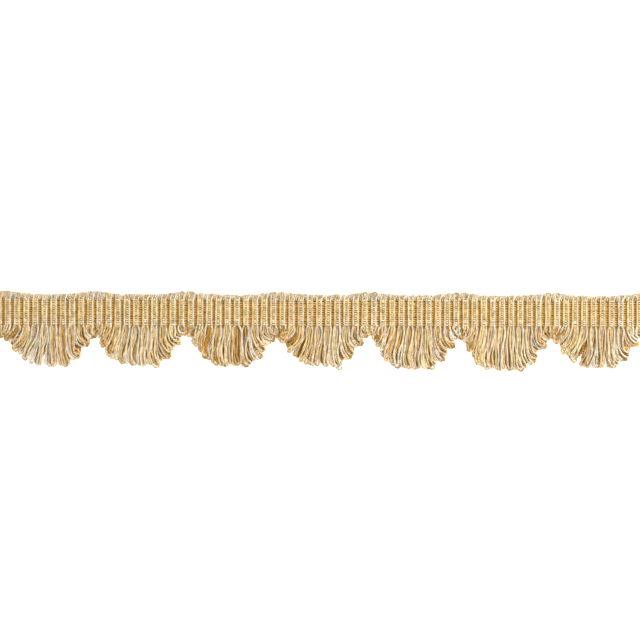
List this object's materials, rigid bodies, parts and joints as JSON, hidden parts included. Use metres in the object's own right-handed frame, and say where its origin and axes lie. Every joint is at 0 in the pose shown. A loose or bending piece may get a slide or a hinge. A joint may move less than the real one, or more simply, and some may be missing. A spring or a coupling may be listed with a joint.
{
  "type": "fan edge trim",
  "caption": "Ribbed woven heading with looped yarn below it in scalloped fans, lying flat, for edging curtains and cushions.",
  "frame": {"origin": "on the back of the trim, midway along it and midway across it", "axes": "+X along the trim, +Y from the loops towards the heading's turned edge, +Z out of the face"},
  "size_m": [0.284, 0.0334, 0.0025],
  "materials": {
    "woven_heading": "silky ribbed weave",
    "looped_yarn": "silky twisted yarn"
  },
  "bodies": {
    "root": {"heading": "woven_heading", "fan_1": "looped_yarn", "fan_2": "looped_yarn", "fan_3": "looped_yarn", "fan_4": "looped_yarn", "fan_5": "looped_yarn", "fan_6": "looped_yarn", "fan_7": "looped_yarn"}
  },
  "joints": []
}
